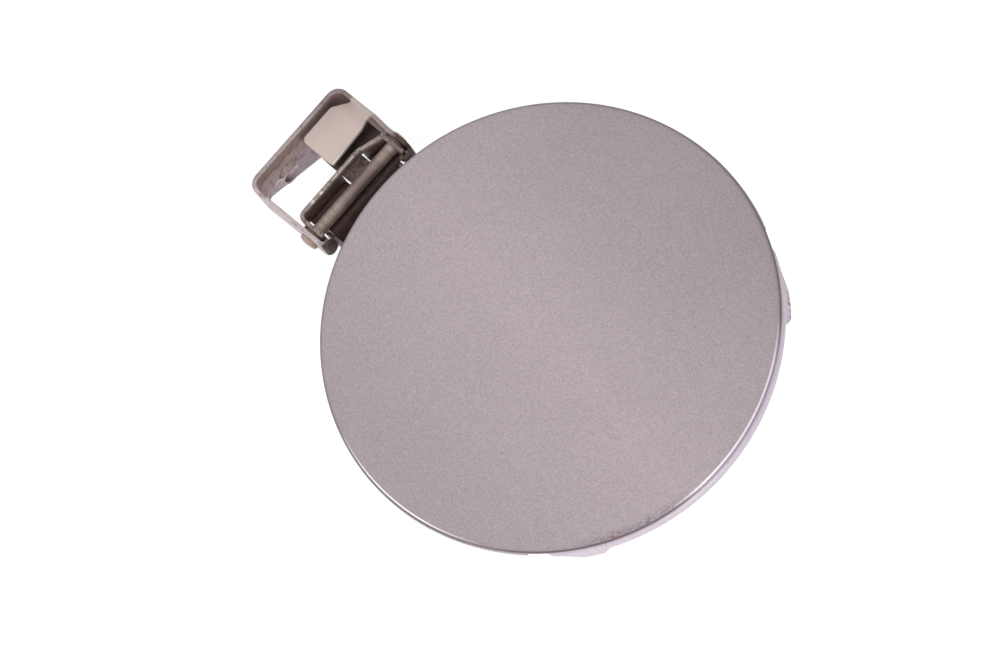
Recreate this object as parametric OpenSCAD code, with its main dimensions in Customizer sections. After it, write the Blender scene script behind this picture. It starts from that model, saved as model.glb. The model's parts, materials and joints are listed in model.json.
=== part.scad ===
// Round car fuel door with its hinge, lying face up in the closed position.
// The origin is midway between the two screw holes, on the face of the hinge
// bracket that bolts to the car body. X runs from the hinge to the latch,
// Y along the hinge pin, and Z out of the painted face.

/* [Painted panel] */
// Diameter of the painted panel
door_d = 165; // [140:1:200]
// Sheet thickness of the painted panel
skin_t = 1.0; // [0.7:0.05:1.4]
// Height of the dome at the middle of the panel
crown = 1.2; // [0.4:0.1:4]
// Depth of the turned-down edge
rim_h = 2.2; // [1.9:0.1:4]
// Outer radius of the turned-down edge
rim_round = 1.3; // [1.1:0.05:1.8]
// How far the panel sits off the middle of the hinge, along the pin
door_shift = 5; // [0:0.5:10]

/* [Inner panel] */
// Sheet thickness of the inner panel
inner_t = 0.8; // [0.6:0.05:1.2]
// Gap for sealer between the two edges
sealer_gap = 0.3; // [0.1:0.05:0.5]
// Width of the flat ring that is bonded to the painted panel
ring_w = 9; // [6:0.5:14]
// Depth of the pan below the painted face, to its outside
pan_depth = 7; // [5:0.25:10]
// Width of the sloping wall of the pan
pan_slope = 5; // [3:0.5:8]
// Radius of the raised middle of the pan
middle_r = 26; // [18:1:30]
// Height of the raised middle
middle_h = 3; // [1.5:0.25:4]
// Depth of the edge on the latch side
latch_edge_h = 6.2; // [4.5:0.1:7]
// How far above the rim the inner panel's trimmed edge stops, away from the latch
edge_back = 0.3; // [0.2:0.05:0.6]
// How far the edge on the latch side stands out past the painted panel
edge_out = 0.5; // [0.2:0.05:0.8]
// Depth of the lobe on the right, seen with the hinge on the left
lobe_deep = 9.9; // [8:0.1:12]
// Depth of the other lobe
lobe_shallow = 8.2; // [7:0.1:9.5]
// Flare of the lobes, as a slope
lobe_flare = 0.35; // [0:0.05:0.5]
// Angle from the latch to the start of a lobe
lobe_start = 38; // [30:1:45]
// Angle that a lobe takes up
lobe_span = 17; // [12:1:25]
// How much further the deeper lobe reaches towards the latch, in degrees
lobe_extra = 4.5; // [0:0.5:8]
// Direction of the latch, seen from the middle of the panel
latch_angle = 4.9; // [-10:0.1:10]
// Diameter of the paint drain holes
drain_d = 9; // [6:0.5:12]

/* [Hinge bracket] */
// Sheet thickness of the bracket
bracket_t = 1.6; // [1.2:0.1:2.4]
// Outer width of the bracket, along the pin
bracket_w = 49; // [42:0.5:60]
// Height of the upper edge above the pin axis
bracket_top = 6; // [5.5:0.25:9]
// Distance from the mounting face to the pin axis
bracket_reach = 30.7; // [27:0.1:36]
// Distance from the pin axis to the end of the legs
leg_end = 8.9; // [8.8:0.1:11]
// The same for the lower leg, which is shorter
leg_end_low = 8.2; // [8:0.1:10]
// How far the upper leg stands further out beside the plate than at the pin
leg_lean = 0.6; // [0:0.05:1]
// Outer bend radius between the web and the legs
bracket_bend = 5; // [3:0.25:7]
// How far the end of each leg is turned in
leg_tab = 5.5; // [4.5:0.1:6]
// How far the tops of the turned-in ends sit below the leg's upper edge
tab_drop = 2; // [1.5:0.1:2.5]
// How far their lower ends reach below the pin's axis
tab_drop_low = 5.2; // [4.5:0.1:6]
// Diameter of the screw holes
screw_d = 6.2; // [5:0.1:7]
// Distance between the screw holes
screw_pitch = 19.6; // [18:0.1:24]
// Height of the raised collar round a screw hole
collar_h = 1.4; // [0.6:0.1:2]
// Depth of the web below the screws, at its short side
web_short = 0.6; // [0:0.1:4]
// Slope of the lower edge of the web, in degrees
web_slope = 22.7; // [10:0.1:30]
// Size of the folded plate, away from the web
plate_l = 15.75; // [14:0.05:18]
// Size of the folded plate, along the pin
plate_w = 24.2; // [20:0.1:26]
// Width of the neck that joins the plate to its leg
neck_w = 9.7; // [6:0.1:12]
// Outer radius of the bend between the upper leg and the plate
plate_bend = 2; // [1.7:0.1:3]
// Gap between the web and the plate
plate_gap = 3.05; // [2:0.05:6]
// From the plate's edge beside the web to its neck
neck_in = 4.25; // [3:0.05:5]

/* [Pin and bushes] */
// Diameter of the hinge pin
pin_d = 5; // [3.5:0.1:5.6]
// Diameter of the rivet heads of the pin
pin_head_d = 7.4; // [5.5:0.1:9]
// Thickness of the rivet heads
pin_head_h = 2.1; // [1.2:0.1:3]
// Diameter of the pin's riveted upper end
pin_tail_d = 6.4; // [5.6:0.1:8]
// Height of the pin's riveted upper end
pin_tail_h = 1.1; // [0.6:0.1:2]
// Depth of the pin axis below the painted face
pin_depth = 13; // [11:0.25:16]
// Distance from the edge of the panel to the pin axis
pin_out = 12.3; // [12:0.1:18]
// Height of the pin axis above the screws
pin_rise = 10.5; // [8:0.25:14]
// Radial running clearance of the pin in its bushes
pin_play = 0.04; // [0.02:0.01:0.1]
// Wall of the bushes
bush_wall = 0.75; // [0.5:0.05:1]
// Diameter of the flange of the bushes
bush_flange_d = 9.6; // [8.5:0.1:11]
// Side clearance between a bush and its leg
side_play = 0.3; // [0.1:0.05:0.5]

/* [Knuckle and arm] */
// Sheet thickness of the knuckle and the arm
arm_t = 1.5; // [1.2:0.1:2]
// Gap between the ears of the knuckle and the legs of the bracket
ear_gap = 1.2; // [1.2:0.1:2.5]
// Distance from the pin axis to the outside of the knuckle's end wall
knuckle_back = 7.9; // [6.8:0.1:8.5]
// Distance from the middle of the hinge to the bend in the end wall
wall_bend_y = 11; // [5:0.5:12]
// Height of the ears above the pin axis
ear_top = 5; // [4:0.25:6]
// Distance from the pin axis to the front of the ears
ear_front = 6.8; // [6.4:0.1:7]
// The same for the lower ear, which is shorter
ear_front_low = 4.8; // [4.6:0.1:6]
// Depth of the shelf under the pin below the pin axis, to its top
shelf_depth = 4.3; // [4:0.1:5]
// Distance from the pin axis to the fold at the front of the shelf
shelf_front = 2.5; // [1:0.25:4]
// Gap between the shelf and the ears
shelf_gap = 0.45; // [0.3:0.05:0.8]
// Length of the relief cut in the knuckle's lower corner, from the wall's back
relief_l = 3.3; // [1.8:0.1:4]
// Width of that relief
relief_w = 1.3; // [0.6:0.1:2]
// Depth of the knuckle's floor below the pin axis, to its outside
floor_depth = 14; // [13:0.25:18]
// How far the arm's side walls stand in from the ears
arm_inset = 1.5; // [0.8:0.1:4]
// Depth of the top of the arm's side walls below the pin axis
wall_top = 6; // [5:0.25:8]
// Width of the window for the leaf spring
window_w = 11.45; // [9:0.05:13]
// Distance of the window's middle from the middle of the hinge
window_y = 6.35; // [4:0.05:8]
// Length of the pads that are welded to the inner panel
pad_l = 26; // [18:1:34]
// Width of the welded edges beside the arm
flange_w = 6; // [4:0.5:9]
// Diameter of the rivets between knuckle and arm
rivet_d = 5; // [3:0.25:6]
// Diameter of the rivets' heads
rivet_head_d = 7.4; // [6:0.1:8]
// Height of the rivets' heads
rivet_head_h = 1.4; // [0.8:0.1:2]
// Distance from the pin axis to those rivets
rivet_x = 14.5; // [14:0.5:20]
// Distance between those rivets
rivet_pitch = 18; // [12:0.5:22]
// Distance from the pin axis to the end of the knuckle's floor
floor_l = 24; // [21:0.5:30]
// Length of the slope between shelf and floor
ramp_l = 6; // [5:0.5:7]
// Inner radius of the bend at the foot of the slope
ramp_bend = 4; // [2.5:0.25:5]

/* [Leaf spring] */
// Thickness of the leaf spring
spring_t = 0.5; // [0.3:0.05:0.8]
// Side clearance of the leaf spring in its window, at its lower side
spring_gap = 0.35; // [0.3:0.05:1.2]
// The same at its upper side
spring_gap_up = 0.8; // [0.3:0.05:1.2]
// How far the spring's hook reaches past the pin axis
spring_hook = 2.6; // [2:0.1:4]
// From the broad base of the spring to the upper leg
spring_base_gap = 0.8; // [0.6:0.1:6]

/* [Latch and small parts] */
// Sheet thickness of the striker
striker_t = 1.6; // [1.2:0.1:2]
// Width of the striker
striker_w = 20; // [14:0.5:26]
// Height of the striker's tongue
striker_h = 18; // [12:0.5:24]
// Length of the striker's foot
striker_foot = 13; // [10:0.5:18]
// Distance from the foot of the pan's slope to the striker's tongue
striker_in = 9; // [7:0.5:12]
// Width of the window for the lock's bolt
bolt_w = 9; // [6:0.5:12]
// Height of the window for the lock's bolt
bolt_h = 6.5; // [5:0.5:8]
// Distance between the striker's rivets
striker_pitch = 10; // [8:0.5:13]
// Diameter of the striker's rivets
striker_rivet_d = 4; // [3:0.25:4.5]
// Distance from the end of the striker's foot to its rivets
striker_rivet_in = 7; // [5:0.5:8]
// Diameter of the rubber buffers
buffer_d = 6.5; // [5:0.25:6.75]
// Height of the rubber buffers
buffer_h = 4; // [2.5:0.25:6]
// Angle from the latch to each rubber buffer
buffer_angle = 70; // [62:1:80]
// Width of the cap holder, between its hooks
holder_gap = 17; // [12:0.5:22]
// From a hook's face to the middle of its clip
holder_reach = 6; // [5:0.5:8]
// From a clip's middle to the end of the holder's foot
holder_end = 5; // [4:0.5:7]
// Width of the holder's foot
holder_w = 16; // [12:0.5:20]
// Diameter of the clips' stems
clip_d = 5; // [3:0.25:6]
// Height of the cap holder's hooks
holder_h = 11; // [8:0.5:15]
// Thickness of the cap holder's walls
holder_t = 2.2; // [1.6:0.1:3]

/* [Hidden] */
$fn = 64;

// Places that the driving sizes settle
door_r = door_d / 2;
pin_x = bracket_reach;
pin_z = pin_rise;
door_x = pin_x + pin_out + door_r;
face_z = pin_z + pin_depth;
half_w = bracket_w / 2;
lean_w = half_w + leg_lean;
plate_end = bracket_t + plate_gap + plate_l;
top_z = pin_z + bracket_top;
leg_x = pin_x + leg_end;
low_leg_x = pin_x + leg_end_low;
ear_half = half_w - bracket_t - ear_gap;
arm_half = ear_half - arm_t - arm_inset;
floor_z = pin_z - floor_depth;
shelf_z = pin_z - shelf_depth - arm_t;
back_x = pin_x - knuckle_back;
pad_z = face_z - pan_depth;
weld_x = door_x - door_r + skin_t + ring_w + pan_slope + 12;
ramp_end = pin_x + shelf_front + ramp_l + ramp_bend * tan(atan((shelf_z - floor_z) / ramp_l) / 2);

// Number of straight pieces in a rounded corner
bend_n = 6;

function unit(v) = v / norm(v);
function left(v) = [-v[1], v[0]];
function cross2(a, b) = a[0] * b[1] - a[1] * b[0];
function xy(p) = [p[0], p[1]];
function angle_of(v) = atan2(v[1], v[0]);

// A corner b between a and c, rounded with radius b[2], as points of an arc
function corner(a, b, c) =
    let (u = unit(xy(b) - xy(a)), w = unit(xy(c) - xy(b)), turn = cross2(u, w), r = b[2])
    r <= 0 || abs(turn) < 0.001 ? [xy(b)] :
    let (side = sign(turn), cut = r * tan(acos(max(-1, min(1, u * w))) / 2),
        mid = xy(b) - u * cut + side * r * left(u),
        a0 = angle_of(-side * left(u)), sweep = side * acos(max(-1, min(1, u * w))))
    [for (i = [0:bend_n]) mid + r * [cos(a0 + sweep * i / bend_n), sin(a0 + sweep * i / bend_n)]];

// A closed outline of [x, y, radius] corners
function closed(p) =
    [for (i = [0:len(p) - 1]) each corner(p[(i + len(p) - 1) % len(p)], p[i], p[(i + 1) % len(p)])];

// An open line of [x, y, radius] corners
function open_line(p) =
    concat([xy(p[0])], [for (i = [1:len(p) - 2]) each corner(p[i - 1], p[i], p[i + 1])], [xy(p[len(p) - 1])]);

// The line moved sideways by d, its corners still round the same centres
function moved(p, d) = [for (i = [0:len(p) - 1])
    i == 0 ? concat(xy(p[0]) + d * left(unit(xy(p[1]) - xy(p[0]))), [0]) :
    i == len(p) - 1 ? concat(xy(p[i]) + d * left(unit(xy(p[i]) - xy(p[i - 1]))), [0]) :
    let (u = unit(xy(p[i]) - xy(p[i - 1])), w = unit(xy(p[i + 1]) - xy(p[i])),
        n = left(u), m = left(w))
    concat(xy(p[i]) + d * (n + m) / (1 + n * m), [max(0, p[i][2] - sign(cross2(u, w)) * d)])];

function reversed(p) = [for (i = [len(p) - 1:-1:0]) p[i]];

// The section of a bent sheet of thickness t whose left face is the line p
function sheet(p, t) = concat(open_line(moved(p, 0)), reversed(open_line(moved(p, -t))));

// Extrudes an XZ outline along Y from y0 to y1
module along_y(y0, y1) {
    translate([0, y1, 0]) rotate([90, 0, 0]) linear_extrude(y1 - y0) children();
}

// Extrudes a YZ outline along X from x0 to x1
module along_x(x0, x1) {
    translate([x0, 0, 0]) rotate([90, 0, 90]) linear_extrude(x1 - x0) children();
}

// Moves a part of the door to the middle of the painted face
module on_door() {
    translate([door_x, door_shift, face_z]) children();
}

// Places a part of the door at an angle from the latch direction
module at_latch(a) {
    on_door() rotate([0, 0, latch_angle + a]) children();
}

module y_rod(d, y0, y1) {
    translate([pin_x, y1, pin_z]) rotate([90, 0, 0]) cylinder(d = d, h = y1 - y0);
}

// The bracket: web, two legs with turned-in ends, and a plate folded over
module base_bracket() {
    inner = half_w - bracket_t;
    color("tan") difference() {
        union() {
            bracket_walls();
            bracket_plate();
            for (s = [-1, 1])
                translate([bracket_t, s * screw_pitch / 2, 0]) rotate([0, 90, 0])
                    cylinder(d1 = screw_d + 4.6, d2 = screw_d + 2.6, h = collar_h);
        }
        for (s = [-1, 1])
            translate([-1, s * screw_pitch / 2, 0]) rotate([0, 90, 0])
                cylinder(d = screw_d, h = bracket_t + collar_h + 2);
        y_rod(pin_d, -half_w - 1, half_w + 1);
    }
}

module bracket_walls() {
    tab_y = half_w - leg_tab;
    tab_top = top_z - tab_drop;
    tab_low = pin_z - tab_drop_low;
    low = -web_short;
    deep = low - bracket_w * tan(web_slope);
    plan = [[low_leg_x, -tab_y, 0], [low_leg_x, -half_w, 2.6], [0, -half_w, bracket_bend],
        [0, lean_w, bracket_bend], [plate_end, lean_w, 10], [pin_x - 4, half_w, 10],
        [leg_x, half_w, 2.6], [leg_x, tab_y, 0]];
    difference() {
        intersection() {
            translate([0, 0, deep - 2]) linear_extrude(top_z - deep + 2)
                polygon(sheet(plan, bracket_t));
            union() {
                // Web and the root of both legs
                along_x(-1, bracket_bend)
                    polygon([[-half_w - 1, low], [lean_w + 1, deep], [lean_w + 1, top_z],
                        [-half_w - 1, top_z]]);
                // Lower leg
                along_y(-half_w - 1, 0)
                    polygon(leg_outline(low, low_leg_x, tab_low, tab_top));
                // Upper leg, which follows the deeper side of the web
                along_y(0, lean_w + 1)
                    polygon(leg_outline(deep, leg_x, tab_low, tab_top));
            }
        }
        // The free corners of each turned-in end are round
        tab_corners(1, leg_x, tab_y, tab_low, tab_top);
        tab_corners(-1, low_leg_x, tab_y, tab_low, tab_top);
    }
}

// A leg seen from the side, from the web to a little past its end
function leg_outline(low, end_x, tab_low, tab_top) =
    closed([[bracket_bend - 1, low, 0], [bracket_bend + 1, low, 4], [pin_x - 6, tab_low - 1.5, 8],
        [pin_x + 4, tab_low - 0.5, 6], [end_x + 1, tab_low, 0], [end_x + 1, tab_top, 0],
        [pin_x + 7, tab_top, 1.2], [pin_x + 5.4, top_z, 1], [bracket_bend - 1, top_z, 0]]);

module tab_corners(side, end_x, tab_y, tab_low, tab_top) {
    r = leg_tab * 0.6;
    for (m = [[tab_top, 1], [tab_low, -1]])
        along_x(end_x - bracket_t - 0.5, end_x + 1)
            polygon([for (p = concat([[tab_y - 0.5, m[0] + 0.5 * m[1]]], [for (i = [0:bend_n])
                [tab_y + r - r * sin(90 * i / bend_n), m[0] + m[1] * (r * cos(90 * i / bend_n) - r)]],
                [[tab_y - 0.5, m[0] - m[1] * r]])) [side * p[0], p[1]]]);
}

// The plate's neck comes off the upper edge of the upper leg in a tight bend
module bracket_plate() {
    x0 = bracket_t + plate_gap;
    x1 = plate_end;
    y1 = lean_w - bracket_t - 0.6;
    y0 = lean_w - plate_w;
    neck0 = x0 + neck_in;
    neck1 = neck0 + neck_w;
    translate([0, 0, top_z - bracket_t]) linear_extrude(bracket_t)
        polygon(closed([[x0, y0, 2.2], [x1, y0, 1.2], [x1 - 0.9, y1 - 5.4, 2.5], [neck1, y1 - 1.8, 1.5],
            [neck1, y1, 0], [neck0, y1, 0], [neck0, y1 - 0.6, 1.5], [x0, y1 - 6, 3]]));
    along_x(neck0, neck1)
        polygon(concat([[y1 - 0.1, top_z - bracket_t], [y1 - 0.1, top_z]],
            [for (i = [0:bend_n]) [lean_w - plate_bend * (1 - sin(90 * i / bend_n)),
                top_z - plate_bend * (1 - cos(90 * i / bend_n))]],
            [[lean_w, top_z - 4], [lean_w - bracket_t, top_z - 4]]));
}

// One pin with its formed head and its set head
module hinge_pin() {
    color("rosybrown") {
        y_rod(pin_d, -half_w - 0.1, half_w + 0.1);
        pin_head(-1, pin_head_d / 2, pin_head_h);
        pin_head(1, pin_tail_d / 2, pin_tail_h);
    }
}

module pin_head(side, r, h) {
    translate([pin_x, side * half_w, pin_z]) rotate([-90 * side, 0, 0])
        rotate_extrude() polygon(concat([[0, 0], [r, 0], [r, h * 0.45]],
            [for (i = [1:bend_n]) [r * cos(80 * i / bend_n), h * (0.45 + 0.55 * sin(80 * i / bend_n))]],
            [[0, h]]));
}

// A leaf with a broad base, welded under the plate, whose tongue goes through
// the window in the knuckle and ends in a shallow hook below the pin
module leaf_spring() {
    start_x = bracket_t + plate_gap + 1.5;
    base_x = pin_x - norm([knuckle_back, ear_top]) - 0.5;
    under = top_z - bracket_t;
    run_z = pin_z - 1;
    dip_z = pin_z - pin_d / 2 - 0.35;
    y0 = window_y - window_w / 2 + spring_gap;
    y1 = window_y + window_w / 2 - spring_gap_up;
    y2 = half_w - bracket_t - spring_base_gap;
    line = [[start_x, under, 0], [start_x + 6.2, under, 2], [start_x + 10.4, run_z, 3],
        [pin_x - 3.2, run_z, 1.2], [pin_x - 1.9, dip_z, 2], [pin_x + spring_hook - 1.4, dip_z, 1.5],
        [pin_x + spring_hook, dip_z + 0.6, 0]];
    color("dimgray") intersection() {
        along_y(y0, y2) polygon(sheet(line, spring_t));
        translate([0, 0, pin_z - 10]) linear_extrude(20)
            polygon(closed([[start_x - 1, y0 - 1, 0], [pin_x + 8, y0 - 1, 0], [pin_x + 8, y1, 0],
                [base_x, y1, 1.5], [pin_x - 7, y2, 1], [start_x - 1, y2, 0]]));
    }
}

module bush(side) {
    inner_y = ear_half - arm_t;
    flange_h = half_w - bracket_t - ear_half - side_play;
    bore = pin_d / 2 + pin_play;
    color("ivory") translate([pin_x, side * inner_y, pin_z]) rotate([-90 * side, 0, 0])
        rotate_extrude() polygon([[bore, 0], [pin_d / 2 + bush_wall, 0], [pin_d / 2 + bush_wall, arm_t],
            [bush_flange_d / 2, arm_t], [bush_flange_d / 2, arm_t + flange_h], [bore, arm_t + flange_h]]);
}

// Folded knuckle: end wall with two ears, and a sheet that runs from the shelf
// under the pin down a slope to the floor. The spring's window is cut through
// the wall and on into the shelf
module knuckle() {
    ear_x = pin_x + ear_front;
    plan = [[ear_x, ear_half, 0], [pin_x - 4, ear_half, 2.4], [back_x, wall_bend_y, 4],
        [back_x, -ear_half, 3.2], [pin_x + ear_front_low, -ear_half, 0]];
    color("darkkhaki") difference() {
        union() {
            intersection() {
                translate([0, 0, floor_z]) linear_extrude(pin_z + ear_top - floor_z)
                    polygon(sheet(reversed(plan), arm_t));
                union() {
                    along_y(0, ear_half + 1) ear_side(ear_front);
                    along_y(-ear_half - 1, 0) ear_side(ear_front_low);
                }
            }
            knuckle_floor();
        }
        translate([back_x - 1, window_y - window_w / 2, shelf_z - 1])
            cube([pin_x - back_x + 0.5, window_w, pin_z + 2 - shelf_z + 1]);
        y_rod(pin_d + 2 * bush_wall, -ear_half - 1, ear_half + 1);
        arm_rivet_holes(floor_z - 1, arm_t + 2);
        // Relief at the lower corner, where wall, ear and shelf meet
        translate([back_x - 1, arm_t - ear_half, shelf_z - 1])
            cube([relief_l + 1, relief_w, arm_t + 2.2]);
    }
}

// An ear seen from the side: its front edge runs down onto a circle round the pin
module ear_side(front) {
    polygon(closed([[back_x - 1, pin_z + ear_top, 0], [back_x - 1, shelf_z + 2.6, 0],
        [back_x, shelf_z + 2.6, 0], [back_x, shelf_z, 2.5], [pin_x, shelf_z, 0],
        [pin_x, pin_z, 0], [pin_x + front, pin_z, 0],
        [pin_x + front, pin_z + ear_top, 0.8]]));
    translate([pin_x, pin_z]) circle(r = front, $fn = 96);
}

// Shelf, slope and floor of the knuckle
module knuckle_floor() {
    line = [[back_x + 0.3, shelf_z, 0], [pin_x + shelf_front, shelf_z, 3],
        [pin_x + shelf_front + ramp_l, floor_z, ramp_bend], [pin_x + floor_l, floor_z, 0]];
    wide = ear_half - arm_t - shelf_gap;
    narrow = arm_half - arm_t - 0.05;
    foot = arm_half - 0.4;
    step_x = pin_x - 1.2;
    foot_x = ramp_end;
    end_x = pin_x + floor_l;
    // The shelf runs on beside the upper ear, over the top of the arm's wall
    translate([step_x - 1, narrow - 0.5, shelf_z])
        cube([ear_front - 1, ear_half - arm_t - narrow + 0.6, arm_t]);
    // The front edge of the upper ear is turned in
    translate([pin_x + ear_front - 1.9, arm_half + 0.1, pin_z - 2])
        cube([1.5, ear_half - arm_half - 0.2, 2.4]);
    intersection() {
        along_y(-wide, wide) polygon(sheet(line, -arm_t));
        translate([0, 0, floor_z - 1]) linear_extrude(20)
            polygon(closed([[back_x + 0.3, -wide, 0], [step_x, -wide, 1], [step_x, -narrow, 1],
                [foot_x, -narrow, 0], [foot_x + 2, -foot, 2], [end_x, -foot + 4, 4],
                [end_x, foot - 4, 4], [foot_x + 2, foot, 2], [foot_x, narrow, 0],
                [step_x, narrow, 1], [step_x, wide, 1], [pin_x - 4, wide, 0],
                [back_x + 0.3, wall_bend_y, 0]]));
    }
}

module arm_rivet_holes(z, h) {
    for (s = [-1, 1])
        translate([pin_x + rivet_x, s * rivet_pitch / 2, z]) cylinder(d = rivet_d, h = h);
}

module knuckle_rivets() {
    color("gray") for (s = [-1, 1])
        translate([pin_x + rivet_x, s * rivet_pitch / 2, 0]) {
            translate([0, 0, floor_z]) cylinder(d = rivet_d, h = 2 * arm_t);
            translate([0, 0, floor_z - rivet_head_h])
                cylinder(d1 = rivet_d + 1.2, d2 = rivet_head_d, h = rivet_head_h);
            translate([0, 0, floor_z + 2 * arm_t])
                cylinder(d1 = rivet_head_d, d2 = rivet_d + 1.2, h = rivet_head_h);
        }
}

// Gooseneck arm: an open channel that rises from the knuckle to the pan
module hinge_arm() {
    low = floor_z + arm_t;
    x0 = ramp_end + 0.3;
    x1 = weld_x + pad_l;
    color("thistle") difference() {
        union() {
            // Floor and end pad
            along_y(-arm_half, arm_half) polygon(sheet(arm_floor(low, x0, x1), -arm_t));
            // Side walls
            for (s = [-1, 1])
                along_y(s * (arm_half - arm_t / 2) - arm_t / 2, s * (arm_half - arm_t / 2) + arm_t / 2)
                    polygon(arm_side(low, pin_x - 1.1, x1));
            // Edges turned out for the welds
            for (s = [-1, 1])
                translate([weld_x - 8.6, s > 0 ? arm_half - 0.1 : -arm_half - flange_w + 0.1, pad_z - arm_t])
                    cube([pad_l + 2, flange_w, arm_t]);
        }
        arm_rivet_holes(low - 1, arm_t + 2);
    }
}

// The line of the arm's floor, along its underside
function arm_floor(low, x0, x1) = [[x0, low, 0], [weld_x - 16, low, 12],
    [weld_x + 2, pad_z - arm_t, 8], [x1, pad_z - arm_t, 0]];

// A side wall: its lower edge is the floor, its upper edge follows the pan
function arm_side(low, x0, x1) = concat(open_line(arm_floor(low, x0, x1 - 3)),
    reversed(open_line([[x0, low + arm_t, 0], [x0 + 0.8, pin_z - wall_top, 1.5],
        [weld_x - 20, pin_z - wall_top, 8], [weld_x - 9, pad_z, 0], [x1 - 3, pad_z, 0]])));

// Section of the painted panel, from the middle out and back
function dome(r) = crown * (1 - pow(r / door_r, 2));

module outer_skin() {
    rings = 22;
    flat_r = door_r - rim_round;
    inner_round = rim_round - skin_t;
    color([0.68, 0.64, 0.67]) on_door() rotate_extrude($fn = 180)
        polygon(concat(
            [for (i = [0:rings]) [flat_r * i / rings, dome(flat_r * i / rings)]],
            [for (i = [1:bend_n]) [flat_r + rim_round * sin(90 * i / bend_n),
                dome(flat_r) - rim_round * (1 - cos(90 * i / bend_n))]],
            [[door_r, -rim_h], [door_r - skin_t, -rim_h]],
            [for (i = [bend_n:-1:1]) [flat_r + inner_round * sin(90 * i / bend_n),
                dome(flat_r) - skin_t - inner_round * (1 - cos(90 * i / bend_n))]],
            [for (i = [rings:-1:0]) [flat_r * i / rings, dome(flat_r * i / rings) - skin_t]]));
}

// The pan: bonded ring, sloping wall, flat floor and raised middle, with a
// turned-down edge that is trimmed to leave two lobes on the latch side
module inner_panel() {
    edge_r = door_r - skin_t - sealer_gap;
    out_r = door_r + edge_out;
    step_z = -rim_h - 0.25;
    top = -skin_t - 0.06;
    floor_top = -pan_depth + inner_t;
    ring_r = edge_r - ring_w;
    pan_r = ring_r - pan_slope;
    line = [[out_r + lobe_flare * (lobe_deep + 0.5 - latch_edge_h), -lobe_deep - 0.5, 0],
        [out_r, -latch_edge_h, 6], [out_r, step_z - 1.3, 1.2], [edge_r, step_z, 0.9],
        [edge_r, top, 1.1], [ring_r, top, 2.2], [pan_r, floor_top, 2.4],
        [middle_r + 2.5, floor_top, 3], [middle_r - 1, floor_top + middle_h, 3],
        [0, floor_top + middle_h, 0]];
    color("plum") difference() {
        on_door() rotate_extrude($fn = 180) polygon(sheet(line, -inner_t));
        edge_cut(edge_r);
        for (a = [62, 118, 242, 298])
            at_latch(a) translate([(pan_r + middle_r) / 2 + 1, 0, -pan_depth - 1])
                cylinder(d = drain_d, h = 3);
        for (s = [-1, 1])
            at_latch(0) translate([striker_rivet_x(), s * striker_pitch / 2, -pan_depth - 1])
                cylinder(d = striker_rivet_d, h = 3);
        for (s = [-1, 1])
            on_door() translate([s * holder_pitch() / 2, 0, -pan_depth + middle_h - 1])
                cylinder(d = clip_d, h = 4);
    }
}

// What is trimmed off the full-depth edge: all below the short edge, apart
// from the two lobes and the deeper stretch between them
module edge_cut(edge_r) {
    short_h = rim_h - edge_back;
    reach = lobe_start + 1.5;
    at_latch(0) difference() {
        translate([0, 0, -lobe_deep - 1.5]) difference() {
            cylinder(r = edge_r + 6, h = lobe_deep + 1.5 - short_h);
            translate([0, 0, -1]) cylinder(r = edge_r - inner_t - 1.5, h = lobe_deep + 2);
        }
        rotate([0, 0, lobe_start + (lobe_span - lobe_extra) / 2])
            along_x(edge_r * 0.9, edge_r * 1.1)
                polygon(lobe_outline(edge_r, lobe_deep, lobe_span + lobe_extra));
        mirror([0, 1, 0]) rotate([0, 0, lobe_start + lobe_span / 2])
            along_x(edge_r * 0.9, edge_r * 1.1) polygon(lobe_outline(edge_r, lobe_shallow, lobe_span));
        translate([0, 0, -latch_edge_h]) linear_extrude(latch_edge_h)
            polygon([[0, 0], for (i = [-4:4]) edge_r * 1.3 * [cos(reach * i / 4), sin(reach * i / 4)]]);
    }
}

// A lobe seen from outside: steep towards the latch, tapering away from it
function lobe_outline(edge_r, depth, span) =
    let (half = edge_r * sin(span / 2))
    closed([[-half, -1, 0], [-half, -latch_edge_h + 0.3, 1.5], [-half * 0.8, -depth, 1.5],
        [-half * 0.2, -depth, 12], [half, -rim_h, 3], [half, -1, 0]]);

// A bead of sealer over the seam between the two edges, away from the latch
module seam_sealer() {
    r = door_r - skin_t - sealer_gap / 2;
    start = lobe_start + lobe_span + 3;
    color("gainsboro") at_latch(start) rotate_extrude(angle = 360 - 2 * start, $fn = 180)
        polygon([[r - 0.12, -rim_h + edge_back + 0.5], [r + 0.12, -rim_h + edge_back + 0.5],
            [r + 0.12, -rim_h - 0.1], [r + 1.3, -rim_h - 0.1], [r + 1.5, -rim_h - 0.5],
            [r + 1.1, -rim_h - 0.95], [r - 0.5, -rim_h - 0.8], [r - 1, -rim_h + edge_back - 0.3],
            [r - 1, -rim_h + edge_back - 0.06], [r - 0.12, -rim_h + edge_back - 0.06]]);
}

function striker_x() = door_r - skin_t - ring_w - pan_slope - striker_in;
function striker_rivet_x() = striker_x() - striker_foot + striker_rivet_in;

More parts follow.
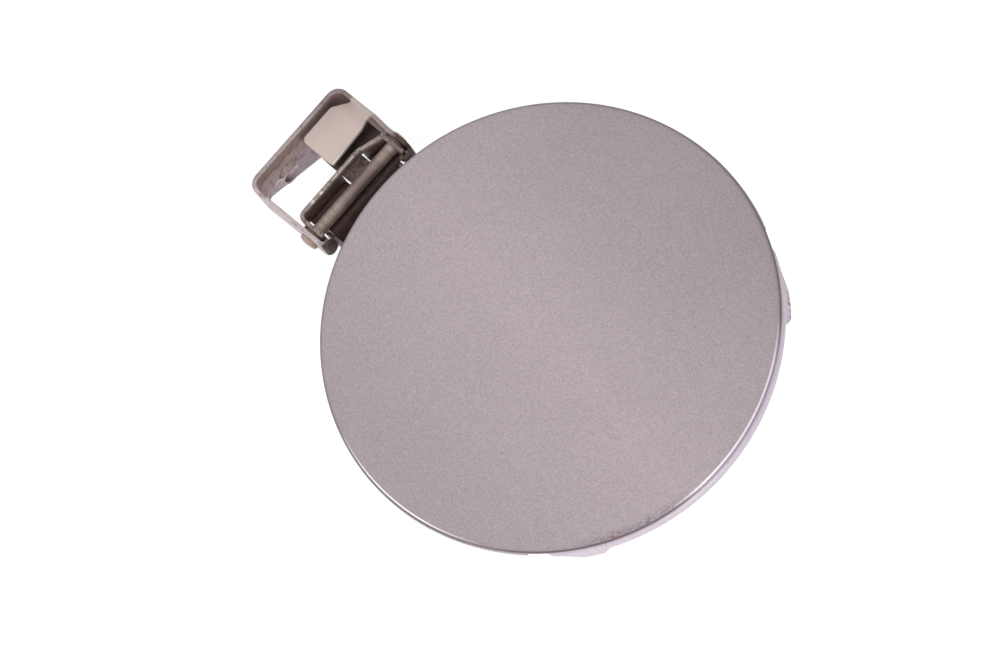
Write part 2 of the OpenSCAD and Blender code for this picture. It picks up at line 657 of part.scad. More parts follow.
// Latch striker: a riveted foot and a tongue with a window for the bolt
module striker() {
    x1 = striker_x();
    low = -pan_depth - striker_h;
    line = [[x1 - striker_foot, -pan_depth, 0], [x1, -pan_depth, striker_t + 1], [x1, low, 0]];
    color("silver") at_latch(0) difference() {
        intersection() {
            along_y(-striker_w / 2, striker_w / 2) polygon(sheet(line, striker_t));
            union() {
                translate([x1 - striker_foot - 1, -striker_w, -pan_depth - 4])
                    cube([striker_foot + 2, 2 * striker_w, 4]);
                along_x(x1 - 4, x1 + 1)
                    polygon(closed([[-striker_w / 2, -pan_depth - 3, 0], [-striker_w / 2, low + 6, 3],
                        [-striker_w / 4, low, 3], [striker_w / 4, low, 3], [striker_w / 2, low + 6, 3],
                        [striker_w / 2, -pan_depth - 3, 0]]));
            }
        }
        along_x(x1 - 4, x1 + 1)
            polygon(closed([[-bolt_w / 2, low + 3.5, 1], [bolt_w / 2, low + 3.5, 1],
                [bolt_w / 2, low + 3.5 + bolt_h, 1], [-bolt_w / 2, low + 3.5 + bolt_h, 1]]));
        for (s = [-1, 1])
            translate([striker_rivet_x(), s * striker_pitch / 2, -pan_depth - striker_t - 1])
                cylinder(d = striker_rivet_d, h = striker_t + 2);
    }
}

module striker_rivets() {
    depth = inner_t + striker_t;
    color("gray") at_latch(0) for (s = [-1, 1])
        translate([striker_rivet_x(), s * striker_pitch / 2, -pan_depth - striker_t]) {
            cylinder(d = striker_rivet_d, h = depth);
            translate([0, 0, -1.3]) cylinder(d1 = striker_rivet_d + 0.6, d2 = striker_rivet_d + 3, h = 1.3);
            translate([0, 0, depth])
                cylinder(d1 = striker_rivet_d + 2.4, d2 = striker_rivet_d + 1.4, h = 0.8);
        }
}

// A rubber dome, stuck to the underside of the bonded ring
module buffer(a) {
    r = buffer_d / 2;
    seat = -skin_t - 0.06 - inner_t;
    color("darkslategray") at_latch(a)
        translate([door_r - skin_t - sealer_gap - ring_w / 2 - 0.1, 0, seat]) mirror([0, 0, 1])
            rotate_extrude() polygon(concat([[0, 0], [r, 0], [r, buffer_h * 0.35]],
                [for (i = [1:bend_n]) [r * (0.55 + 0.45 * cos(90 * i / bend_n)),
                    buffer_h * (0.35 + 0.65 * sin(90 * i / bend_n))]],
                [[0, buffer_h]]));
}

function holder_pitch() = holder_gap + 2 * holder_reach;

// Moulded holder for the fuel cap, with two hooks that face each other
module cap_holder() {
    seat = -pan_depth + middle_h;
    foot = holder_pitch() + 2 * holder_end;
    low = seat - holder_t - holder_h;
    color([0.2, 0.2, 0.21]) on_door() difference() {
        union() {
            translate([0, 0, seat - holder_t]) linear_extrude(holder_t)
                polygon(closed([for (p = [[-1, -1], [1, -1], [1, 1], [-1, 1]])
                    [p[0] * foot / 2, p[1] * holder_w / 2, holder_w * 0.37]]));
            for (s = [-1, 1]) mirror([s > 0 ? 0 : 1, 0, 0])
                along_y(1 - holder_w / 2, holder_w / 2 - 1)
                    polygon(closed([[holder_gap / 2 + holder_t, seat - 0.5, 0],
                    [holder_gap / 2, seat - 0.5, 0], [holder_gap / 2, low + 2.5, 0.5],
                    [holder_gap / 2 - 2.5, low + 1.2, 0.6], [holder_gap / 2 - 1, low, 0.8],
                    [holder_gap / 2 + holder_t, low + 1.5, 1.5]]));
            for (s = [-1, 1])
                translate([-holder_gap / 2, s * (holder_w / 2 - 1.8) - 0.8, seat - holder_t - 3])
                    cube([holder_gap, 1.6, 3.2]);
        }
        for (s = [-1, 1])
            translate([s * holder_pitch() / 2, 0, seat - holder_t - 1])
                cylinder(d = clip_d, h = holder_t + 2);
    }
}

module holder_clips() {
    seat = -pan_depth + middle_h;
    color("dimgray") on_door() for (s = [-1, 1])
        translate([s * holder_pitch() / 2, 0, seat]) {
            translate([0, 0, -holder_t]) cylinder(d = clip_d, h = holder_t + inner_t);
            translate([0, 0, -holder_t - 1.2]) cylinder(d1 = clip_d + 1, d2 = clip_d + 3, h = 1.2);
            translate([0, 0, inner_t]) cylinder(d1 = clip_d + 1.4, d2 = clip_d - 1, h = 1.8);
        }
}

base_bracket();
hinge_pin();
leaf_spring();
bush(-1);  // bush_lower
bush(1);  // bush_upper
knuckle();
knuckle_rivets();
hinge_arm();
inner_panel();
outer_skin();
seam_sealer();
striker();
striker_rivets();
buffer(buffer_angle);  // buffer_left
buffer(-buffer_angle);  // buffer_right
cap_holder();
holder_clips();
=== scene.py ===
import json
import math

import bmesh
import bpy
from mathutils import Matrix, Vector

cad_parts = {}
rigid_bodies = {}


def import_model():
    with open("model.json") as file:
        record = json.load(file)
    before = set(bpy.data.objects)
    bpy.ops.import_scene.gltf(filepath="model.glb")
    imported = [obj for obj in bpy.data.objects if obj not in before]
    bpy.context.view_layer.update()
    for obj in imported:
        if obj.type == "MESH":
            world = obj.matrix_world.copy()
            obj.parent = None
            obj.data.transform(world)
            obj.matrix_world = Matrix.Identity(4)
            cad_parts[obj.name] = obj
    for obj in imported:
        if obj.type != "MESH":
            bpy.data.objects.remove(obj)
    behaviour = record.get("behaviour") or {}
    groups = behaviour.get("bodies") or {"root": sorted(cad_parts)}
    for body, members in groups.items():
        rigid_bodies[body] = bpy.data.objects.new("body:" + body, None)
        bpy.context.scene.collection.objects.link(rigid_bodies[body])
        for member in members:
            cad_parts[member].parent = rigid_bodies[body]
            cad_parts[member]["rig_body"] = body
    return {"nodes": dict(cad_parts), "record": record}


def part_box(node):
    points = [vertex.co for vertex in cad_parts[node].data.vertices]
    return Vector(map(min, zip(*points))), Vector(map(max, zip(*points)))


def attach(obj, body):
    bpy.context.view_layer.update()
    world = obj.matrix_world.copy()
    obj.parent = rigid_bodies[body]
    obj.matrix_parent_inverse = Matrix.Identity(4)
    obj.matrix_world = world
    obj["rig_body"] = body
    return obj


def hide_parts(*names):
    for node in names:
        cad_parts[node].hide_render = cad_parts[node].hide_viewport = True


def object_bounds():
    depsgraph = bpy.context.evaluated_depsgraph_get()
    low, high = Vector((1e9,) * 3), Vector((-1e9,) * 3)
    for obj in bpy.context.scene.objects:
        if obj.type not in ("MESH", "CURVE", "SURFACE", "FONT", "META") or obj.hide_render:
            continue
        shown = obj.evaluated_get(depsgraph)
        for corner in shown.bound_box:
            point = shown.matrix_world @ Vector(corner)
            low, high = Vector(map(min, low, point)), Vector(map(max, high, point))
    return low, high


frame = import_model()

MM = 0.001
CAD_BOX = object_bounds()

# Places taken from the CAD nodes, in metres
skin_low, skin_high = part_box("outer_skin")
pin_low, pin_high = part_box("hinge_pin")
CROWN = 1.2 * MM  # height of the dome of the painted face
DOOR_R = (skin_high.x - skin_low.x) / 2
DOOR_X = (skin_high.x + skin_low.x) / 2
DOOR_Y = (skin_high.y + skin_low.y) / 2
FACE_Z = skin_high.z - CROWN
DOOR = Vector((DOOR_X, DOOR_Y, FACE_Z))
PIN = Vector(((pin_low.x + pin_high.x) / 2, 0.0, (pin_low.z + pin_high.z) / 2))

# The same in millimetres, for the materials
EDGE = DOOR_R / MM  # radius of the painted panel
FACE = FACE_Z / MM
PIN_X = PIN.x / MM
PIN_Z = PIN.z / MM

# Places on the bracket and the knuckle, in millimetres in the CAD frame
SCREW_Y = 9.8         # middle of a screw hole
SCREW_R = 3.1         # its radius
PLATE_X = 20.4        # the plate's edge towards the door
PLATE_Z = 16.5        # the plate's upper face
WALL_X = 23.75        # middle of the upper edge of the knuckle's wall
WALL_Z = 15.6         # height of that edge
RUBBED = ((23.6, -13.6), (24.0, -9.2))  # bright spots on that edge

# Marks on the painted face, in millimetres from its middle
LATCH = (80.8, 16.8)    # the edge carries a painted highlight about here
NEAREST = (1.0, -82.0)  # the edge glints about here
DARK_STRETCH = (73.0, -35.0)   # the edge is darker and mottled about here
MARK = (69.4, -42.3)    # a brown mark
CHIPS = ((75.6, -31.2, 0.5), (81.0, -16.3, 0.3), (8.0, 31.0, 0.25), (-22.0, -14.0, 0.2))
PAINTED_LIGHT_BAND = (0.156, 0.988)   # direction across the painted light band from the hinge to the latch


def srgb(r, g, b):
    """An 8-bit screen colour as the linear colour that a shader takes."""
    def one(c):
        c = c / 255
        return c / 12.92 if c <= 0.04045 else ((c + 0.055) / 1.055) ** 2.4
    return (one(r), one(g), one(b), 1.0)


def at(x, y, z):
    """A point given in millimetres."""
    return Vector((x, y, z)) * MM


def door_point(x, y, z=0.0):
    """A point given in millimetres from the middle of the painted face."""
    return DOOR + at(x, y, z)


# Materials

class Shader:
    """A material with one Principled shader, and short calls that add nodes to it.

    Its noise, distances and places are in the CAD frame, of the piece at rest.
    """

    def __init__(self, name):
        self.mat = bpy.data.materials.new(name)
        self.mat.use_nodes = True
        self.tree = self.mat.node_tree
        self.bsdf = self.tree.nodes["Principled BSDF"]
        self.coords = self.node("ShaderNodeTexCoord").outputs["Object"]

    def node(self, kind, **settings):
        made = self.tree.nodes.new(kind)
        for key, value in settings.items():
            setattr(made, key, value)
        return made

    def feed(self, socket, value):
        """Links an output to the socket, or sets the socket to a plain value."""
        if isinstance(value, bpy.types.NodeSocket):
            self.tree.links.new(value, socket)
        elif isinstance(value, float) and socket.type == "RGBA":
            socket.default_value = (value, value, value, 1.0)
        else:
            socket.default_value = value

    def fixed(self, **values):
        """Sets inputs of the Principled shader that are the same all over."""
        for key, value in values.items():
            self.bsdf.inputs[key.replace("_", " ")].default_value = value

    def noise(self, size, detail=3.0, rough=0.55, stretch=None):
        """Noise with patches about size millimetres across, longer where stretch is under 1."""
        tex = self.node("ShaderNodeTexNoise")
        tex.inputs["Scale"].default_value = 1.0 / (size * MM)
        tex.inputs["Detail"].default_value = detail
        tex.inputs["Roughness"].default_value = rough
        source = self.coords
        if stretch:
            mapping = self.node("ShaderNodeMapping")
            mapping.inputs["Scale"].default_value = stretch
            self.feed(mapping.inputs["Vector"], self.coords)
            source = mapping.outputs["Vector"]
        self.feed(tex.inputs["Vector"], source)
        return tex.outputs["Fac"]

    def cells(self, size):
        """A random grey for each small cell, size millimetres across."""
        tex = self.node("ShaderNodeTexVoronoi")
        tex.inputs["Scale"].default_value = 1.0 / (size * MM)
        self.feed(tex.inputs["Vector"], self.coords)
        grey = self.node("ShaderNodeSeparateColor")
        self.feed(grey.inputs[0], tex.outputs["Color"])
        return grey.outputs[0]

    def steps(self, value, low, high):
        """value, spread so that low gives 0 and high gives 1."""
        ramp = self.node("ShaderNodeMapRange")
        ramp.inputs["From Min"].default_value = low
        ramp.inputs["From Max"].default_value = high
        self.feed(ramp.inputs["Value"], value)
        return ramp.outputs["Result"]

    def steps_mm(self, value, low, high):
        """The same for a place or a distance, with low and high in millimetres."""
        return self.steps(value, low * MM, high * MM)

    def between(self, value, rise, fall):
        """1 between two soft borders, each a pair of millimetres in rising order."""
        return self.both(self.steps_mm(value, *rise), self.steps_mm(value, fall[1], fall[0]))

    def math(self, operation, a, b=None):
        made = self.node("ShaderNodeMath", operation=operation)
        self.feed(made.inputs[0], a)
        if b is not None:
            self.feed(made.inputs[1], b)
        return made.outputs[0]

    def both(self, a, b):
        return self.math("MULTIPLY", a, b)

    def less(self, a, b):
        return self.math("SUBTRACT", a, b)

    def reach(self, a, b):
        """The distance that two distances across each other make."""
        return self.math("SQRT", self.math("ADD", self.both(a, a), self.both(b, b)))

    def mix(self, fac, a, b):
        """a where fac is 0, b where it is 1."""
        made = self.node("ShaderNodeMix", data_type="RGBA")
        factor, first, second = made.inputs[0], made.inputs[6], made.inputs[7]
        self.feed(factor, fac)
        self.feed(first, a)
        self.feed(second, b)
        return made.outputs[2]

    def tint(self, color, factor):
        """The colour, made lighter or darker by a factor."""
        made = self.node("ShaderNodeVectorMath", operation="SCALE")
        self.feed(made.inputs[0], color)
        made.inputs["Scale"].default_value = factor
        return made.outputs["Vector"]

    def near(self, point, inner, outer):
        """1 within inner millimetres of a point, falling to 0 at outer millimetres."""
        dist = self.node("ShaderNodeVectorMath", operation="DISTANCE")
        self.feed(dist.inputs[0], self.coords)
        dist.inputs[1].default_value = point
        return self.steps_mm(dist.outputs["Value"], outer, inner)

    def around(self, point):
        """Distance in metres from the upright line through a point."""
        apart = self.node("ShaderNodeVectorMath", operation="SUBTRACT")
        self.feed(apart.inputs[0], self.coords)
        apart.inputs[1].default_value = point
        level = self.node("ShaderNodeVectorMath", operation="MULTIPLY")
        self.feed(level.inputs[0], apart.outputs["Vector"])
        level.inputs[1].default_value = (1, 1, 0)
        length = self.node("ShaderNodeVectorMath", operation="LENGTH")
        self.feed(length.inputs[0], level.outputs["Vector"])
        return length.outputs["Value"]

    def axis(self, name):
        """A coordinate in metres."""
        split = self.node("ShaderNodeSeparateXYZ")
        self.feed(split.inputs[0], self.coords)
        return split.outputs[name]

    def color(self, value):
        self.feed(self.bsdf.inputs["Base Color"], value)

    def roughness(self, value):
        self.feed(self.bsdf.inputs["Roughness"], value)

    def bump(self, *layers):
        """Layers of (height, strength, depth in millimetres), one on the other."""
        normal = None
        for height, strength, depth in layers:
            made = self.node("ShaderNodeBump")
            self.feed(made.inputs["Strength"], strength)
            made.inputs["Distance"].default_value = depth * MM
            self.feed(made.inputs["Height"], height)
            if normal is not None:
                self.feed(made.inputs["Normal"], normal)
            normal = made.outputs["Normal"]
        self.feed(self.bsdf.inputs["Normal"], normal)


def face_colors(m, flake, cloud):
    """Mauve-grey flake, with painted light: palest in a band from the hinge to the latch, with
    painted shade to both sides of it.
    """
    pairs = m.cells(0.6)
    base = m.mix(m.steps(cloud, 0.35, 0.65), srgb(154, 142, 146), srgb(159, 147, 151))
    # Painted shade: darker on both sides of the band from the hinge to the latch, as the
    # overhead light falls off
    across = m.math("ADD", m.both(m.less(m.axis("Y"), DOOR_Y), PAINTED_LIGHT_BAND[1]),
                    m.both(m.less(m.axis("X"), DOOR_X), PAINTED_LIGHT_BAND[0]))
    base = m.mix(m.steps_mm(across, -6, -72), base, m.tint(base, 0.84))
    base = m.mix(m.steps_mm(across, -4, 72), base, m.tint(base, 0.81))
    base = m.mix(m.steps(flake, 0.0, 1.0), m.tint(base, 0.85), m.tint(base, 1.15))
    return m.mix(m.steps(pairs, 0.0, 1.0), m.tint(base, 0.95), m.tint(base, 1.05))


def rolled_edge(m, base, out):
    """The roll of the edge, at a distance out from the door's middle."""
    # It ends in a dark line of painted shade, with a painted highlight on its crest towards
    # the latch, and the rim below has a painted pale lilac reflection on that side
    latch = m.near(door_point(*LATCH), 24, 40)
    roll = m.steps_mm(out, EDGE - 0.62, EDGE - 0.4)
    crest = m.less(m.steps_mm(out, EDGE - 1.3, EDGE - 1.1), roll)
    painted_rim_sheen = m.both(m.steps_mm(m.axis("Z"), FACE - 1.15, FACE - 1.6),
                  m.steps(m.axis("X"), DOOR_X + 20 * MM, DOOR_X + 34 * MM))
    base = m.mix(m.both(crest, latch), base, srgb(226, 216, 224))
    base = m.mix(roll, base, m.mix(latch, srgb(94, 79, 92), srgb(146, 132, 145)))
    base = m.mix(m.both(roll, painted_rim_sheen), base, srgb(196, 182, 194))
    # A painted highlight glints on the nearest stretch, inside a darker outline of painted
    # shade
    glint = m.near(door_point(*NEAREST), 12, 35)
    outline = m.steps_mm(out, EDGE - 0.62, EDGE - 0.45)
    shine = m.less(m.steps_mm(out, EDGE - 1.15, EDGE - 0.95), outline)
    base = m.mix(m.both(shine, glint), base, srgb(244, 234, 239))
    return m.mix(m.both(outline, glint), base, srgb(72, 61, 67))


def face_wear(m, base, out):
    """A darker mottled stretch inside the edge, a brown mark and round chips."""
    grit = m.noise(0.7, 4.0, 0.65)
    inner = m.steps_mm(out, EDGE - 3.4, EDGE - 1.5)
    stretch = m.near(door_point(*DARK_STRETCH), 12, 24)
    dark_specks = m.both(m.both(inner, stretch), m.steps(grit, 0.42, 0.60))
    base = m.mix(m.both(dark_specks, 0.8), base, srgb(104, 90, 98))
    blotch = m.steps(m.noise(1.1, 4.0), 0.42, 0.56)
    base = m.mix(m.both(m.near(door_point(*MARK), 0.7, 1.7), blotch), base, srgb(120, 84, 66))
    for x, y, r in CHIPS:
        base = m.mix(m.near(door_point(x, y), r, r + 0.35), base, srgb(112, 97, 104))
    return base


def outer_paint():
    """The metallic paint of the face and its edge, with orange peel, marks and chips, and
    painted light and shade.
    """
    m = Shader("outer_paint")
    flake = m.cells(0.34)
    cloud = m.noise(60, 1.0)
    out = m.around(DOOR)
    base = face_colors(m, flake, cloud)
    base = rolled_edge(m, base, out)
    m.color(face_wear(m, base, out))
    m.roughness(m.steps(cloud, -8.0, 10.5))
    m.bump((m.noise(1.5, 1.0), 0.045, 0.05), (flake, 0.04, 0.02))
    m.fixed(Metallic=0.3, Coat_Weight=0.25, Coat_Roughness=0.15)
    return m.mat


def inner_paint():
    """The thin lilac coat of the inside, with dust, and oily soiling and painted shade near the
    hinge.
    """
    m = Shader("inner_paint")
    flake = m.cells(0.5)
    dust = m.noise(6, 5.0, 0.7)
    fine = m.noise(1.3, 4.0, 0.7)
    x, y, z = m.axis("X"), m.axis("Y"), m.axis("Z")
    grain = m.steps(flake, 0.0, 1.0)
    base = m.mix(grain, srgb(180, 170, 176), srgb(194, 185, 191))
    base = m.mix(m.steps(dust, 0.5, 0.8), base, srgb(156, 144, 147))
    # The rim is painted paler, a painted sheen where it catches the light
    rim = m.steps_mm(m.around(DOOR), EDGE - 0.5, EDGE)
    base = m.mix(rim, base, m.mix(grain, srgb(198, 186, 198), srgb(212, 202, 213)))
    # Oily soiling and painted shade about the pin
    grime_and_shade = m.math("ADD", m.near(PIN + at(3, 0, -6), 20, 34), m.both(dust, 0.3))
    dirt_and_shade = m.mix(m.steps(dust, 0.4, 0.6), srgb(86, 68, 66), srgb(112, 94, 92))
    base = m.mix(m.steps(grime_and_shade, 0.35, 0.95), base, dirt_and_shade)
    # The arm's upper edges and lower side are paler, beside the pin
    edge = m.math("MAXIMUM", m.steps_mm(z, PIN_Z - 7.3, PIN_Z - 6.4),
                  m.steps_mm(y, -17.8, -18.5))
    edge = m.both(edge, m.steps_mm(x, PIN_X + 16, PIN_X + 11))
    base = m.mix(m.both(edge, m.steps(fine, 0.25, 0.5)), base, srgb(166, 147, 150))
    # Dark specks where the coat has gone from the lobe's edge
    dark_specks = m.both(m.near(door_point(64.0, 52.0, -9.0), 8, 18), m.steps(fine, 0.52, 0.58))
    low = m.steps_mm(z, FACE - 7.2, FACE - 8.8)
    base = m.mix(m.both(dark_specks, low), base, srgb(92, 68, 66))
    m.color(base)
    m.roughness(m.steps(dust, -0.4, 1.2))
    m.bump((m.noise(1.2, 2.0), 0.12, 0.08))
    m.fixed(Metallic=0.15, Coat_Weight=0.1, Coat_Roughness=0.3)
    return m.mat


def plate_mask(m, x, y, z):
    """1 on the folded plate and its neck, 0 on the rest of the bracket."""
    middle = m.between(x, (4.1, 4.5), (20.8, 21.4))
    neck = m.between(x, (7.9, 8.7), (18.5, 19.3))
    flat = m.math("MAXIMUM", m.both(m.steps_mm(y, 23.3, 22.9), middle), neck)
    return m.both(flat, m.both(m.steps_mm(z, 13.4, 14.4), m.steps_mm(y, 0.0, 0.6)))


def legs_and_web(m, x, y, z, mottle, grime_and_shade, speck):
    """The lower leg is paler, the upper one browner, and the web pinkish, with painted shade
    high up on the web under the plate; all are dirty.
    """
    leg = m.mix(m.steps_mm(y, -16, 14), srgb(206, 192, 194), srgb(168, 148, 143))
    # Painted shade: the web darkens upwards under the plate, with a ragged border
    ragged = m.math("ADD", z, m.both(grime_and_shade, 5 * MM))
    web = m.mix(m.steps_mm(ragged, 11, 1), srgb(190, 164, 160), srgb(222, 204, 212))
    upper = m.mix(m.steps(mottle, 0.4, 0.6), srgb(140, 114, 108), srgb(160, 136, 130))
    web = m.mix(m.steps_mm(ragged, 12.2, 13.4), web, upper)
    web = m.mix(m.steps_mm(z, 15.9, 16.4), web, srgb(178, 166, 166))
    base = m.mix(m.steps_mm(x, 4.5, 2.0), leg, web)
    base = m.mix(m.steps(grime_and_shade, 0.53, 0.68), base, srgb(128, 102, 96))
    return m.mix(m.steps(speck, 0.58, 0.66), base, srgb(118, 98, 92))


def plate_edge(m, base, x, y, z):
    """A painted highlight along the top of the plate's edge towards the door, over painted
    shade on its side.
    """
    straight = m.between(y, (0.4, 1.6), (16.0, 17.2))
    facing = m.both(straight, m.steps_mm(x, PLATE_X + 1.2, PLATE_X + 0.6))
    top = m.steps_mm(z, PLATE_Z - 0.55, PLATE_Z - 0.35)
    brow = m.both(m.both(facing, m.steps_mm(x, PLATE_X - 0.45, PLATE_X - 0.3)), top)
    side = m.both(facing, m.steps_mm(x, PLATE_X - 0.1, PLATE_X - 0.02))
    # Painted shade on the side of the edge, then a painted highlight along its top
    base = m.mix(m.less(side, top), base, srgb(74, 58, 54))
    return m.mix(brow, base, srgb(252, 243, 236))


def oil_and_shade(m, base, x, y, plate, grime_and_shade):
    """The legs' turned-in ends are dark with oil and painted shade, and the corner under the
    plate with painted shade.
    """
    upper = m.both(m.steps_mm(x, PIN_X - 3, PIN_X + 2.0), m.steps_mm(y, 0, 1))
    lower = m.both(m.steps_mm(x, PIN_X + 6.2, PIN_X + 7.1), m.steps_mm(y, 0, -1))
    ends = m.math("ADD", m.math("MAXIMUM", upper, lower), m.both(grime_and_shade, 0.2))
    # Oil and painted shade on the turned-in ends
    base = m.mix(m.steps(ends, 0.5, 1.0), base, srgb(72, 52, 50))
    # Painted shade in the corner under the plate
    corner_shade = m.mix(m.steps(grime_and_shade, 0.4, 0.6), srgb(110, 84, 80), srgb(80, 60, 57))
    corner = m.both(m.near(at(7, 20, 7), 5, 17), m.less(0.85, m.both(plate, 0.85)))
    return m.mix(corner, base, corner_shade)


def worn_holes(m, base, x, y, z, speck):
    """A long patch about each screw hole is rubbed bright, with a painted highlight along its
    upper edge, and the bore is grey, with painted shade and oil towards the leg.
    """
    front = m.steps_mm(x, 1.2, 1.5)
    for side in (-1, 1):
        # The patch is an ellipse, with a painted highlight along its upper edge
        along = m.math("DIVIDE", m.less(y, side * (SCREW_Y + 1.0) * MM), 6.8 * MM)
        across = m.math("DIVIDE", m.less(z, 0.4 * MM), 3.0 * MM)
        out = m.reach(along, across)
        patch = m.both(m.steps(out, 1.0, 0.8), m.steps(speck, 0.1, 0.35))
        base = m.mix(m.both(patch, front), base, srgb(232, 216, 222))
        ring = m.less(m.steps(out, 1.05, 0.95), m.steps(out, 0.8, 0.7))
        line = m.both(ring, m.steps_mm(z, 0.8, 1.6))
        base = m.mix(m.both(line, front), base, srgb(255, 250, 250))
        # The bore is darkened with oil and painted shade, most towards the leg
        beside = m.less(y, side * SCREW_Y * MM)
        outward = m.steps_mm(m.both(beside, side), -2.2, 2.4)
        inside = m.mix(outward, srgb(214, 198, 204), srgb(112, 92, 96))
        bore = m.steps_mm(m.reach(beside, z), SCREW_R + 0.2, SCREW_R + 0.02)
        base = m.mix(bore, base, inside)
    return base


def bracket_steel():
    """Warm primer: clean on the folded plate, dirty on the cut edges, and dark with oil and
    painted shade in the corners.
    """
    m = Shader("bracket_steel")
    mottle = m.noise(2.2, 4.0, 0.6)
    grime_and_shade = m.noise(3.6, 6.0, 0.72)
    speck = m.noise(0.6, 3.0, 0.6)
    x, y, z = m.axis("X"), m.axis("Y"), m.axis("Z")
    clean = m.mix(m.steps(mottle, 0.3, 0.7), srgb(200, 181, 173), srgb(196, 178, 170))
    clean = m.mix(m.steps(speck, 0.735, 0.75), clean, srgb(120, 100, 92))
    clean = m.mix(m.steps_mm(y, 17, 21), clean, m.tint(clean, 0.86))
    plate = plate_mask(m, x, y, z)
    base = m.mix(plate, legs_and_web(m, x, y, z, mottle, grime_and_shade, speck), clean)
    base = plate_edge(m, base, x, y, z)
    base = oil_and_shade(m, base, x, y, plate, grime_and_shade)
    m.color(worn_holes(m, base, x, y, z, speck))
    m.roughness(m.mix(plate, m.steps(mottle, -1.0, 1.3), 0.42))
    rough = m.less(0.32, m.both(plate, 0.3))
    m.bump((grime_and_shade, 0.10, 0.1), (m.noise(0.5, 2.0), rough, 0.05))
    m.fixed(Metallic=0.12)
    return m.mat


def knuckle_steel():
    """Grey-brown steel, nearly black low down inside with old oil and painted shade, paler on
    the upper edge.
    """
    m = Shader("knuckle_steel")
    mottle = m.noise(1.6, 4.0, 0.6)
    grime_and_shade = m.noise(3.2, 6.0, 0.72)
    streak = m.noise(1.2, 3.0, 0.5, (1.0, 0.15, 1.0))
    x, y, z = m.axis("X"), m.axis("Y"), m.axis("Z")
    edge = m.mix(m.steps(streak, 0.35, 0.65), srgb(134, 118, 112), srgb(162, 148, 144))
    edge = m.mix(m.steps(mottle, 0.51, 0.61), edge, srgb(100, 82, 76))
    # Painted shade with old oil: the low, inner parts are darkest
    deep = m.mix(m.steps(grime_and_shade, 0.35, 0.65), srgb(86, 66, 61), srgb(106, 84, 78))
    high = m.math("ADD", m.steps_mm(z, PIN_Z + 2.2, PIN_Z + 4.6), m.both(mottle, 0.15))
    base = m.mix(m.steps(high, 0.25, 0.95), deep, edge)
    # A rubbed line runs along the wall's edge
    line = m.between(x, (WALL_X - 0.25, WALL_X - 0.13), (WALL_X + 0.11, WALL_X + 0.23))
    line = m.both(line, m.near(at(WALL_X, 2.6, WALL_Z), 4, 7))
    base = m.mix(m.both(line, m.steps(streak, 0.3, 0.5)), base, srgb(214, 202, 196))
    # The upper ear is browner
    base = m.mix(m.both(m.steps_mm(y, 19.0, 20.5), 0.6), base, srgb(88, 68, 62))
    for spot in RUBBED:
        base = m.mix(m.near(at(*spot, WALL_Z), 0.4, 1.1), base, srgb(216, 206, 198))
    m.color(base)
    m.roughness(m.steps(mottle, -0.3, 1.3))
    m.bump((grime_and_shade, 0.15, 0.1), (mottle, 0.2, 0.08))
    m.fixed(Metallic=0.25)
    return m.mat


def spring_steel():
    """Dark steel, oily, with painted shade where it runs back under the plate."""
    m = Shader("spring_steel")
    mottle = m.noise(1.1, 5.0, 0.7)
    front = m.mix(m.steps(mottle, 0.42, 0.60), srgb(66, 51, 46), srgb(134, 116, 107))
    back = m.mix(m.steps(mottle, 0.4, 0.6), srgb(56, 44, 40), srgb(76, 61, 55))
    # Painted shade on the part that runs back under the plate
    m.color(m.mix(m.steps_mm(m.axis("X"), PIN_X - 7.0, PIN_X - 8.5), front, back))
    m.roughness(m.steps(mottle, -0.2, 1.2))
    m.bump((mottle, 0.2, 0.06))
    m.fixed(Metallic=0.2)
    return m.mat


def pin_steel():
    """Dull steel with faint rings, browner towards the middle of the bar."""
    m = Shader("pin_steel")
    fine = m.noise(0.8, 4.0, 0.6)
    rings = m.noise(1.4, 3.0, 0.6, (0.2, 1.0, 0.2))
    base = m.mix(m.steps(fine, 0.3, 0.7), srgb(162, 144, 135), srgb(182, 165, 156))
    base = m.mix(m.steps(rings, 0.45, 0.65), base, srgb(150, 131, 121))
    middle = m.near(PIN + at(1, 4, 0), 3, 15)
    m.color(m.mix(m.both(middle, 0.85), base, srgb(124, 105, 97)))
    m.roughness(m.steps(fine, -0.4, 1.4))
    m.bump((fine, 0.15, 0.05))
    m.fixed(Metallic=0.2)
    return m.mat


def simple(name, color, rough, metallic=0.0, grain=0.8):
    """One colour with darker mottling, for the small parts."""
    m = Shader(name)
    fine = m.noise(grain, 4.0, 0.6)
    dark = tuple(c * 0.76 for c in color[:3]) + (1.0,)
    m.color(m.mix(m.steps(fine, 0.35, 0.65), dark, color))
    m.roughness(m.steps(fine, 0.5 - rough, 1.5 - rough))
    m.bump((fine, 0.15, 0.05))
    m.fixed(Metallic=metallic)
    return m.mat


MATS = {
    "outer_paint": outer_paint(),
    "inner_paint": inner_paint(),
    "bracket_steel": bracket_steel(),
    "knuckle_steel": knuckle_steel(),
    "pin_steel": pin_steel(),
    "spring_steel": spring_steel(),
    "bush_plastic": simple("bush_plastic", srgb(112, 98, 88), 0.6),
    "sealer": simple("sealer", srgb(186, 176, 182), 0.6, grain=2.0),
    "striker_zinc": simple("striker_zinc", srgb(188, 186, 182), 0.35, metallic=0.8),
    "buffer_rubber": simple("buffer_rubber", srgb(34, 33, 33), 0.75),
    "holder_plastic": simple("holder_plastic", srgb(38, 38, 40), 0.5),
}
SLOT_OF = {s["node"]: s["material_slot"] for s in frame["record"]["subparts"]}


# Pieces

# Width in millimetres of the rounding of the edges, for the pieces that show it
ROUNDED = {"base_bracket": 0.3, "knuckle": 0.25, "hinge_arm": 0.25, "leaf_spring": 0.12,
           "hinge_pin": 0.12, "striker": 0.2, "cap_holder": 0.3}
SKIN_T = 1.0 * MM  # thickness of the painted panel


def shade_smooth(mesh, degrees):
    """Smooth shading, with the edges sharper than degrees kept."""
    for poly in mesh.polygons:
        poly.use_smooth = True
    mesh.set_sharp_from_angle(angle=math.radians(degrees))


